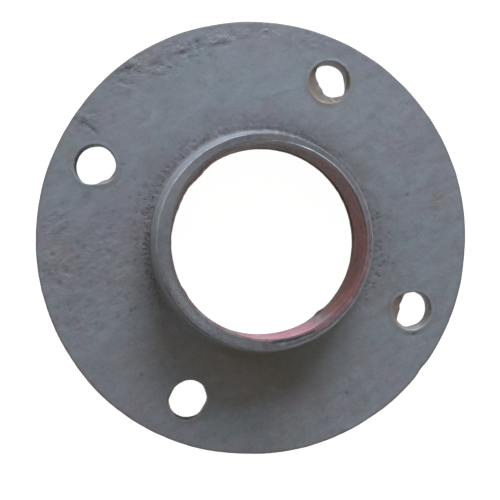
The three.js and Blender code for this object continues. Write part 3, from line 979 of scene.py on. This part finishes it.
def build_front_weld(material):
    N = 720
    th = np.arange(N) * TAU / N
    cs = np.stack([np.cos(th), np.sin(th)], 1)
    br, bz = np.array(BEAD_R), np.array(BEAD_Z)
    run = np.concatenate([[0], np.cumsum(np.hypot(np.diff(br), np.diff(bz)))])
    run /= run[-1]
    ring = np.stack([cs[:, 0] * 48, cs[:, 1] * 48, 0 * th], 1)
    spread = 0.5 * fbm(ring, 11, 3, 121)
    # less painted highlight on the bead towards the top
    highlight_dim = 0.25 * bump(turn(th, seen(86)), 0.2) + 0.2 * bump(turn(th, seen(122)), 0.15)
    side = grit_side(th)
    # painted highlight and painted shade on the dressed upper part of the bead, as on the neck
    lit, painted_shade = band_painted_light(th)
    rings = []
    out = {key: [] for key in KEYS}
    for s in np.linspace(0, 1, 30):
        r0, z0 = np.interp(s, run, br), np.interp(s, run, bz)
        r1, z1 = np.interp(s + 0.02, run, br), np.interp(s + 0.02, run, bz)
        ra, za = np.interp(s - 0.02, run, br), np.interp(s - 0.02, run, bz)
        nr, nz = z1 - za, ra - r1
        nr, nz = nr / math.hypot(nr, nz), nz / math.hypot(nr, nz)
        rr = r0 + spread * (1 - s)
        p = np.stack([NECK_C[0] + rr * cs[:, 0], NECK_C[1] + rr * cs[:, 1], np.full(N, z0)], 1)
        ends = smooth(0.0, 0.25, s) * smooth(1.0, 0.8, s)
        # the lower part is left as laid; the upper part is dressed with the neck
        rough = smooth(0.74, 0.66, s + 0.04 * fbm(ring, 3, 2, 127))
        ripple = np.sin(th * 49 * TAU / 3.1 + 3.5 * fbm(p, 6, 2, 123) + s * 2.2)
        grit = np.clip(0.9 * noise(p, 1.4, 124) + 0.55 * noise(p, 0.9, 125), -1, 1)
        lump = fbm(p, 5.5, 2, 126)
        pit, pit_dark = pits_at(p[:, 0], p[:, 1], ROOT_PITS)
        rise = ends * (
            rough * (0.015 * ripple + 0.16 * side * grit + 0.08 * lump - pit)
            + (1 - rough) * (0.03 * noise(p, 2, 128) + 0.06)
        )
        rr = rr + rise * nr
        zz = z0 + rise * nz
        rings.append(np.stack([NECK_C[0] + rr * cs[:, 0], NECK_C[1] + rr * cs[:, 1], zz], 1))
        # painted shade towards the neck's root, as on the plate
        shade = root_painted_shade(th, rr) * (1 + 0.5 * fbm(p, 7, 3, 34))
        # painted light in the neck's shadow on the lower right: less dark, more brightening
        shadow_lift = bump(turn(th, seen(308)), 0.3)
        out["dark"].append(
            rough
            * (1 - 0.75 * shadow_lift)
            * (
                shade
                + 0.34 * smooth(0.1, 0.75, -grit) * side
                # painted shade in the weld's pits
                + 0.85 * pit_dark
                + 0.1 * smooth(0.0, 0.6, -lump)
            )
            # painted shade in the crease where the dressed part meets the rough bead
            + 0.1 * bump(s - 0.66, 0.06) * side
            + (1 - rough) * painted_shade
        )
        out["rust"].append(0.05 + 0.1 * smooth(0.0, 0.6, lump) * rough)
        out["wear_and_painted_light"].append(
            (1 - rough) * lit * (0.8 + 0.3 * fbm(p, 5, 2, 129)) * (0.35 + 0.65 * smooth(0.83, 1.02, s)) * (1 - highlight_dim)
            + 0.3 * rough * smooth(0.35, 0.9, grit) * side
            + 0.45 * shadow_lift * (0.8 + 0.5 * lump)
        )
        # brownish tint round the root, with painted shadow colour on the lower side
        out["warm"].append(np.maximum(root_brown_and_shadow_tint(th, rr), 0.1 + 0.4 * rough * side))
        out["tint"].append(0.25 * rough * smooth(0.3, -0.3, lump) * (1 - side))
        out["tan"].append(0.0)
    # hidden back of the bead, against the neck and the plate
    for r, z in ((46.1, 12.6), (46.2, 9.5), (46.35, 6.7), (49.5, 6.05)):
        rings.append(
            np.stack([NECK_C[0] + r * cs[:, 0], NECK_C[1] + r * cs[:, 1], np.full(N, z)], 1)
        )
        for key in out:
            out[key].append(0.3)
    return make_piece(
        "front_fillet_weld_bead",
        np.concatenate(rings),
        ring_faces(N, len(rings), True, flip=True),
        {key: np.concatenate([v + np.zeros(N) for v in value]) for key, value in out.items()},
        material,
        "front_fillet_weld",
    )


# =================================================================== back weld
def build_back_weld(material):
    """The seal weld behind the plate. Its inner edge runs into the bore a little."""
    N = 560
    th = np.arange(N) * TAU / N
    cs = np.stack([np.cos(th), np.sin(th)], 1)
    edge = np.full(N, 41.15)
    for deg, w, h in (
        (10, 26, -0.45),
        (45, 24, -0.4),
        (75, 20, -0.25),
        (100, 20, -0.15),
        (134, 9, -0.9),
        (163, 12, -0.6),
        (188, 14, -0.3),
        (213, 3, -0.4),
        (247, 24, 1.0),
        (275, 20, 0.35),
        (292, 14, 0.2),
        (308, 3.5, -0.7),
    ):
        edge += h * bump(turn(th, seen(deg)), math.radians(w))
    ring = np.stack([cs[:, 0] * 40, cs[:, 1] * 40, 0 * th], 1)
    edge += 0.1 * fbm(ring, 3.2, 3, 131)
    z0, z1 = 0.15, COLLAR_Z0 + 0.02
    prof = [(0.0, z0 + 0.2 + (z1 - z0 - 0.4) * q, "in") for q in np.linspace(0, 1, 9)]
    prof += [(q, z1, "top") for q in np.linspace(0, 1, 5)]
    prof += [(1.0, z1 - (z1 - z0 - 0.2) * q, "side") for q in (0.5, 1.0)]
    prof += [(q, z0, "back") for q in np.linspace(1, 0, 14)]
    rings = []
    out = {key: [] for key in KEYS}
    for q, z, zone in prof:
        inner = BORE_C + edge[:, None] * cs
        outer = NECK_C + (NECK_ROOT_R + 0.1) * cs
        if zone == "in":
            k = (z - z0) / (z1 - z0)
            xy = inner + cs * 0.3 * abs(2 * k - 1) ** 2.5
        else:
            xy = (inner + cs * 0.35) * (1 - q) + outer * q
        p = np.concatenate([xy, np.full((N, 1), z)], 1)
        zz = np.full(N, z)
        ripple = 0.0
        if zone == "back":
            # overlapping ripples, dressed flat in places
            flat = smooth(-0.1, 0.35, fbm(p, 16, 2, 136))
            phase = th * 44 * TAU / 3.4 + 9 * (q - 0.5) ** 2 + 1.6 * fbm(p, 8, 2, 137)
            ripple = np.sin(phase) * smooth(0.0, 0.2, q) * smooth(1.0, 0.8, q) * (1 - 0.8 * flat)
            zz = z0 + 0.13 + 0.12 * fbm(p, 4, 3, 132) + 0.07 * noise(p, 1.4, 133) + 0.12 * ripple
            zz = np.clip(zz, 0.01, 1)
        if zone == "in":
            xy = xy + cs * (0.08 * fbm(p, 2, 2, 134))[:, None]
        rings.append(np.concatenate([xy, zz[:, None]], 1))
        f = fbm(p, 3, 2, 135)
        out["dark"].append(0.22 * smooth(0, 0.6, -f) + 0.1 + 0.3 * np.clip(ripple, 0, 1))
        out["rust"].append(0.4 + 0.4 * f)
        out["wear_and_painted_light"].append(0.3 * smooth(0.2, 0.7, f) * (zone == "back"))
        out["warm"].append(0.6 + 0.3 * f)
        out["tint"].append(0.0)
        out["tan"].append(0.2 + 0.2 * f)
    return make_piece(
        "back_seal_weld_bead",
        np.concatenate(rings),
        ring_faces(N, len(rings), True, flip=False),
        {key: np.concatenate([v + np.zeros(N) for v in value]) for key, value in out.items()},
        material,
        "back_seal_weld",
    )


# =================================================================== materials
class Graph:
    def __init__(self, name):
        self.mat = bpy.data.materials.new(name)
        self.mat.use_nodes = True
        self.nt = self.mat.node_tree
        self.nt.nodes.clear()

    def node(self, kind, **values):
        n = self.nt.nodes.new(kind)
        for k, v in values.items():
            setattr(n, k, v)
        return n

    def link(self, a, b):
        self.nt.links.new(a, b)

    def put(self, socket, value):
        if hasattr(value, "links"):
            self.link(value, socket)
        else:
            socket.default_value = value

    def math(self, op, a, b=None, clamp=False):
        n = self.node("ShaderNodeMath", operation=op, use_clamp=clamp)
        self.put(n.inputs[0], a)
        if b is not None:
            self.put(n.inputs[1], b)
        return n.outputs[0]

    def ranged(self, value, a, b, c=0.0, d=1.0, kind="SMOOTHSTEP"):
        n = self.node("ShaderNodeMapRange", interpolation_type=kind, clamp=True) if kind == "LINEAR" else self.node("ShaderNodeMapRange", interpolation_type=kind)
        self.put(n.inputs["Value"], value)
        n.inputs["From Min"].default_value = a
        n.inputs["From Max"].default_value = b
        n.inputs["To Min"].default_value = c
        n.inputs["To Max"].default_value = d
        return n.outputs["Result"]

    def mix(self, fac, a, b):
        n = self.node("ShaderNodeMix", data_type="RGBA", blend_type="MIX")
        self.put(n.inputs[0], fac)
        self.put(n.inputs[6], a if hasattr(a, "links") else (*a, 1))
        self.put(n.inputs[7], b if hasattr(b, "links") else (*b, 1))
        return n.outputs[2]

    def noise(self, vector, per_mm, detail=4.0, rough=0.55, offset=0.0, distortion=0.0):
        """Noise whose features are about 1 / per_mm mm across."""
        n = self.node("ShaderNodeTexNoise", noise_dimensions="3D")
        m = self.node("ShaderNodeVectorMath", operation="ADD")
        self.link(vector, m.inputs[0])
        m.inputs[1].default_value = (offset, offset * 0.7, offset * 1.3)
        self.link(m.outputs[0], n.inputs["Vector"])
        n.inputs["Scale"].default_value = per_mm
        n.inputs["Detail"].default_value = detail
        n.inputs["Roughness"].default_value = rough
        n.inputs["Distortion"].default_value = distortion
        return n.outputs["Fac"]

    def attribute(self, name):
        n = self.node("ShaderNodeAttribute", attribute_name=name, attribute_type="GEOMETRY")
        return n.outputs["Fac"]

    def at_mm(self):
        tex = self.node("ShaderNodeTexCoord")
        m = self.node("ShaderNodeVectorMath", operation="SCALE")
        self.link(tex.outputs["Object"], m.inputs[0])
        m.inputs["Scale"].default_value = 1000.0
        return m.outputs[0]


def srgb(r, g, b):
    f = lambda c: (c / 255) / 12.92 if c / 255 <= 0.04045 else ((c / 255 + 0.055) / 1.055) ** 2.4
    return (f(r), f(g), f(b))


def steel(
    name,
    light,
    mid,
    deep,
    mauve,
    cool,
    tint,
    warm_colour,
    rust_a,
    rust_b,
    tan=srgb(122, 110, 94),
    # the worn colour serves worn metal and painted highlights
    worn=srgb(156, 162, 170),
    roughness=0.56,
    metallic=0.28,
    specular=0.5,
    grit=1.0,
    seed=0.0,
    flaky=False,
):
    """Dull scaled steel. light/mid/deep are its greys, mauve/cool its casts."""
    g = Graph(name)
    at = g.at_mm()
    broad = g.noise(at, 1 / 42, 3, 0.5, 10 + seed)
    cloud = g.noise(at, 1 / 13, 5, 0.6, 40 + seed, 0.6)
    mottle = g.noise(at, 1 / 4.6, 5, 0.65, 80 + seed)
    fine = g.noise(at, 1 / 1.5, 4, 0.65, 120 + seed)
    grain = g.noise(at, 1 / 0.6, 2, 0.6, 160 + seed)
    times = lambda a, b: g.math("MULTIPLY", a, b)
    # two greys in broad clouds, mauve and green casts in patches, then fine speckle
    tone = g.math(
        "ADD",
        times(g.ranged(broad, 0.36, 0.64), 0.5),
        times(g.ranged(cloud, 0.34, 0.66), 0.5),
    )
    base = g.mix(tone, mid, light)
    base = g.mix(times(g.ranged(g.noise(at, 1 / 19, 4, 0.6, 200 + seed), 0.46, 0.66), 0.7), base, mauve)
    base = g.mix(times(g.ranged(g.noise(at, 1 / 8, 4, 0.6, 220 + seed), 0.5, 0.68), 0.55), base, cool)
    base = g.mix(times(g.ranged(g.noise(at, 1 / 3.0, 3, 0.6, 260 + seed), 0.5, 0.66), 0.55), base, mauve)
    base = g.mix(times(g.ranged(g.noise(at, 1 / 2.4, 3, 0.6, 280 + seed), 0.52, 0.68), 0.55), base, cool)
    base = g.mix(times(g.attribute("tint"), g.ranged(mottle, 0.3, 0.55, 0.6, 1.0)), base, tint)
    # hazy smears, drawn out one way where the plate was wiped
    turned = g.node("ShaderNodeMapping", vector_type="TEXTURE")
    turned.inputs["Rotation"].default_value = (0.0, 0.0, ROLL + 0.5)
    turned.inputs["Scale"].default_value = (2.6, 1.0, 1.0)
    g.link(at, turned.inputs["Vector"])
    smear = g.noise(turned.outputs["Vector"], 1 / 4.4, 3, 0.5, 340 + seed, 0.8)
    pale = tuple(min(1, c * 1.3) for c in light)
    base = g.mix(times(g.ranged(smear, 0.5, 0.7), 0.2), base, pale)
    base = g.mix(times(g.ranged(smear, 0.5, 0.3), 0.17), base, deep)
    base = g.mix(times(g.ranged(mottle, 0.5, 0.74), 0.3), base, deep)
    base = g.mix(times(g.ranged(fine, 0.5, 0.74), 0.27 * grit), base, deep)
    base = g.mix(times(g.ranged(grain, 0.52, 0.76), 0.19 * grit), base, pale)
    if flaky:
        # crisp little chips and nicks where the scale has flaked
        flake = g.attribute("flake")
        chips = g.ranged(g.noise(turned.outputs["Vector"], 1 / 2.0, 2, 0.5, 400 + seed, 0.4), 0.5, 0.62)
        nicks = g.ranged(g.noise(at, 1 / 1.9, 1.5, 0.5, 430 + seed), 0.54, 0.68)
        base = g.mix(times(times(flake, chips), 0.28), base, deep)
        base = g.mix(times(times(flake, nicks), 0.3), base, pale)
    # small isolated specks
    v = g.node("ShaderNodeTexVoronoi", feature="F1", distance="EUCLIDEAN")
    v.inputs["Scale"].default_value = 1 / 4.2
    v.inputs["Randomness"].default_value = 1.0
    g.link(at, v.inputs["Vector"])
    speck = times(
        g.ranged(v.outputs["Distance"], 0.02, 0.11, 1.0, 0.0),
        g.ranged(g.noise(at, 1 / 9, 2, 0.5, 240 + seed), 0.56, 0.68),
    )
    base = g.mix(times(speck, 0.3), base, deep)
    # tan dirt, rust, darkening (dark scale and painted shade) and brightening (worn metal and painted highlights)
    # come with the mesh
    warm = g.attribute("warm")
    warm_fac = times(warm, g.ranged(g.math("ADD", mottle, times(warm, 0.3)), 0.42, 0.72))
    base = g.mix(warm_fac, base, warm_colour)
    rusty = g.attribute("rust")
    rust_col = g.mix(g.ranged(cloud, 0.35, 0.65), rust_a, rust_b)
    rust_col = g.mix(times(g.ranged(fine, 0.48, 0.7), 0.4), rust_col, tuple(c * 0.5 for c in rust_b))
    rust_fac = times(rusty, g.ranged(g.math("ADD", mottle, times(rusty, 0.4)), 0.44, 0.7))
    base = g.mix(rust_fac, base, rust_col)
    base = g.mix(times(g.attribute("tan"), g.ranged(mottle, 0.3, 0.6, 0.7, 1.0)), base, tan)
    dark_fac = times(g.attribute("dark"), g.ranged(fine, 0.25, 0.55, 0.65, 1.0))
    base = g.mix(times(dark_fac, 0.8), base, tuple(c * 0.4 for c in deep))
    wear_and_light_fac = times(g.attribute("wear_and_painted_light"), g.ranged(mottle, 0.34, 0.56, 0.35, 1.0))
    base = g.mix(wear_and_light_fac, base, worn)
    # relief finer than the mesh, in millimetres
    h = times(fine, 0.042 * grit)
    h = g.math("ADD", h, times(grain, 0.018 * grit))
    h = g.math("ADD", h, times(mottle, 0.03))
    h = g.math("SUBTRACT", h, times(speck, 0.04))
    if flaky:
        chipped = g.math("SUBTRACT", times(nicks, 0.08), times(chips, 0.1))
        h = g.math("ADD", h, times(flake, chipped))
    h = g.math("ADD", h, times(times(g.noise(at, 1 / 0.9, 3, 0.7, 300 + seed), rust_fac), 0.08))
    b = g.node("ShaderNodeBump")
    b.inputs["Strength"].default_value = 1.0
    b.inputs["Distance"].default_value = 0.001
    g.link(h, b.inputs["Height"])
    rough = g.ranged(fine, 0.3, 0.7, roughness - 0.06, roughness + 0.1)
    rough = g.math("ADD", rough, times(rust_fac, 0.12))
    rough = g.math("ADD", rough, times(dark_fac, 0.12))
    rough = g.math("SUBTRACT", rough, times(wear_and_light_fac, 0.14), clamp=True)
    metal = times(g.math("SUBTRACT", 1.0, rust_fac, clamp=True), metallic)
    metal = g.math("ADD", metal, times(wear_and_light_fac, 0.3), clamp=True)
    s = g.node("ShaderNodeBsdfPrincipled")
    s.inputs["Specular IOR Level"].default_value = specular
    g.link(base, s.inputs["Base Color"])
    g.link(rough, s.inputs["Roughness"])
    g.link(metal, s.inputs["Metallic"])
    g.link(b.outputs["Normal"], s.inputs["Normal"])
    out = g.node("ShaderNodeOutputMaterial")
    g.link(s.outputs["BSDF"], out.inputs["Surface"])
    return g.mat


plate_mat = steel(
    "plate_mill_scale",
    light=srgb(131, 138, 150),
    mid=srgb(119, 124, 137),
    deep=srgb(84, 87, 95),
    mauve=srgb(130, 123, 137),
    cool=srgb(115, 131, 133),
    tint=srgb(120, 136, 145),
    warm_colour=srgb(123, 119, 118),
    rust_a=srgb(120, 92, 82),
    rust_b=srgb(96, 78, 70),
    flaky=True,
)
# neck_scale's tint colour is the pink painted sheen on the lower bore and lip
neck_mat = steel(
    "neck_scale",
    light=srgb(122, 127, 136),
    mid=srgb(112, 115, 124),
    deep=srgb(80, 80, 86),
    mauve=srgb(120, 115, 122),
    cool=srgb(108, 120, 124),
    tint=srgb(158, 101, 114),
    warm_colour=srgb(70, 62, 59),
    rust_a=srgb(122, 56, 52),
    rust_b=srgb(88, 48, 45),
    tan=srgb(132, 112, 98),
    roughness=0.52,
    specular=0.18,
    seed=17.0,
)
weld_mat = steel(
    "weld_scale",
    light=srgb(130, 136, 148),
    mid=srgb(118, 123, 135),
    deep=srgb(82, 84, 92),
    mauve=srgb(128, 122, 135),
    cool=srgb(115, 129, 132),
    tint=srgb(118, 132, 140),
    warm_colour=srgb(117, 114, 112),
    rust_a=srgb(116, 92, 84),
    rust_b=srgb(92, 78, 72),
    roughness=0.56,
    grit=1.15,
    seed=31.0,
)
back_mat = steel(
    "seal_weld_rusty",
    light=srgb(118, 116, 120),
    mid=srgb(104, 100, 102),
    deep=srgb(68, 62, 62),
    mauve=srgb(112, 102, 102),
    cool=srgb(104, 108, 108),
    tint=srgb(112, 116, 118),
    warm_colour=srgb(112, 98, 90),
    rust_a=srgb(122, 86, 76),
    rust_b=srgb(94, 70, 62),
    roughness=0.66,
    specular=0.25,
    grit=1.3,
    seed=53.0,
)

build_plate(plate_mat)
build_collar(neck_mat)
build_front_weld(weld_mat)
build_back_weld(back_mat)

# ======================================================================= stage
# A backlit light table: the pale floor glows a little, so shadows on it stay faint.
floor_mesh = bpy.data.meshes.new("floor")
floor_mesh.from_pydata([(-5, -5, 0), (5, -5, 0), (5, 5, 0), (-5, 5, 0)], [], [(0, 1, 2, 3)])
floor = bpy.data.objects.new("floor", floor_mesh)
floor.location.z = -0.0002
bpy.context.scene.collection.objects.link(floor)
g = Graph("light_table")
s = g.node("ShaderNodeBsdfPrincipled")
glow = g.mix(g.noise(g.at_mm(), 1 / 150, 2, 0.5), (0.975, 0.98, 0.985), (1.0, 1.0, 1.0))
s.inputs["Base Color"].default_value = (0.2, 0.2, 0.2, 1)
g.link(glow, s.inputs["Emission Color"])
s.inputs["Emission Strength"].default_value = 0.98
s.inputs["Roughness"].default_value = 0.9
s.inputs["Specular IOR Level"].default_value = 0.1
# From below the floor is clear, so that the flange's back can be looked at.
under = g.node("ShaderNodeMixShader")
g.link(g.node("ShaderNodeNewGeometry").outputs["Backfacing"], under.inputs[0])
g.link(s.outputs["BSDF"], under.inputs[1])
g.link(g.node("ShaderNodeBsdfTransparent").outputs[0], under.inputs[2])
g.link(under.outputs[0], g.node("ShaderNodeOutputMaterial").inputs["Surface"])
floor_mesh.materials.append(g.mat)

# A plain white cyclorama all round, far off. It is only a backdrop and lights nothing.
TURNS, STEPS, DOME_R = 64, 32, 9.0
dome_verts = [(0, 0, DOME_R)]
for k in range(1, STEPS):
    a = math.pi * k / STEPS
    for i in range(TURNS):
        b = TAU * i / TURNS
        dome_verts.append(
            (DOME_R * math.sin(a) * math.cos(b), DOME_R * math.sin(a) * math.sin(b), DOME_R * math.cos(a))
        )
dome_verts.append((0, 0, -DOME_R))
dome_faces = [(0, 1 + i, 1 + (i + 1) % TURNS) for i in range(TURNS)]
dome_faces += ring_faces(TURNS, STEPS - 1, False, base=1)
last = len(dome_verts) - 1
dome_faces += [(last, last - TURNS + (i + 1) % TURNS, last - TURNS + i) for i in range(TURNS)]
dome_mesh = bpy.data.meshes.new("backdrop")
dome_mesh.from_pydata(dome_verts, [], dome_faces)
dome = bpy.data.objects.new("backdrop", dome_mesh)
bpy.context.scene.collection.objects.link(dome)
g = Graph("backdrop_white")
s = g.node("ShaderNodeEmission")
s.inputs["Color"].default_value = (0.97, 0.975, 0.98, 1)
s.inputs["Strength"].default_value = 1.0
g.link(s.outputs[0], g.node("ShaderNodeOutputMaterial").inputs["Surface"])
dome_mesh.materials.append(g.mat)
for seen_by in ("diffuse", "glossy", "transmission", "volume_scatter", "shadow"):
    setattr(dome, "visible_" + seen_by, False)

world = bpy.data.worlds.new("studio")
bpy.context.scene.world = world
world.use_nodes = True
wn = world.node_tree
wn.nodes.clear()
tex = wn.nodes.new("ShaderNodeTexCoord")
sep = wn.nodes.new("ShaderNodeSeparateXYZ")
ramp = wn.nodes.new("ShaderNodeValToRGB")
bg = wn.nodes.new("ShaderNodeBackground")
wo = wn.nodes.new("ShaderNodeOutputWorld")
wn.links.new(tex.outputs["Generated"], sep.inputs[0])
wn.links.new(sep.outputs["Z"], ramp.inputs["Fac"])
wn.links.new(ramp.outputs["Color"], bg.inputs["Color"])
wn.links.new(bg.outputs[0], wo.inputs["Surface"])
ramp.color_ramp.elements[0].position = 0.05
ramp.color_ramp.elements[0].color = (0.92, 0.92, 0.92, 1)
ramp.color_ramp.elements[1].position = 0.24
ramp.color_ramp.elements[1].color = (0.25, 0.225, 0.17, 1)
bg.inputs["Strength"].default_value = 1.0


def area(name, deg, elevation, distance, size, size_y, amount, colour):
    """A soft light seen from the part at a main-view angle and an elevation.
    amount is how brightly it lights a white card that faces it."""
    e = math.radians(elevation)
    d = RIGHT * math.cos(math.radians(deg)) + UP * math.sin(math.radians(deg))
    at = Vector((*(d * math.cos(e) * distance), math.sin(e) * distance))
    light = bpy.data.lights.new(name, "AREA")
    light.shape = "RECTANGLE"
    light.size, light.size_y = size, size_y
    light.energy = amount * math.pi**2 * distance**2
    light.color = colour
    ob = bpy.data.objects.new(name, light)
    ob.location = at
    ob.rotation_mode = "QUATERNION"
    ob.rotation_quaternion = (-at).to_track_quat("-Z", "Y")
    ob.visible_camera = False
    bpy.context.scene.collection.objects.link(ob)
    return ob


area("window", 78.2, 20, 5.0, 2.9, 2.68, 2.11, (0.9, 0.935, 1.0))
area("window_left", 138, 24, 5.0, 2.0, 1.4, 0.19, (0.9, 0.935, 1.0))
area("wall_bounce", 314, 15, 5.0, 2.4, 1.2, 0.085, (1.0, 0.99, 0.98))

# ====================================================================== camera
rx, ry, rz = math.radians(1.4746), math.radians(5.6589), math.radians(-24.1764)
Rx = Matrix.Rotation(rx, 3, "X")
Ry = Matrix.Rotation(ry, 3, "Y")
Rz = Matrix.Rotation(rz, 3, "Z")
R = Ry @ Rx @ Rz
t = Vector((0.04072, 0.04437, -2.4987)) * (PLATE_R * 0.001)
z0 = Vector((0, 0, PLATE_T * 0.001))
cam_data = bpy.data.cameras.new("camera")
cam_data.sensor_width = 36.0
cam_data.lens = 544.2 / 500.0 * 36.0
cam_data.clip_start = 0.01
cam_data.clip_end = 50
cam = bpy.data.objects.new("camera", cam_data)
pose = R.transposed().to_4x4()
pose.translation = z0 - R.transposed() @ t
cam.matrix_world = pose
bpy.context.scene.collection.objects.link(cam)
bpy.context.scene.camera = cam

bpy.context.scene.view_settings.view_transform = "Standard"
bpy.context.scene.view_settings.look = "None"

bpy.context.view_layer.update()
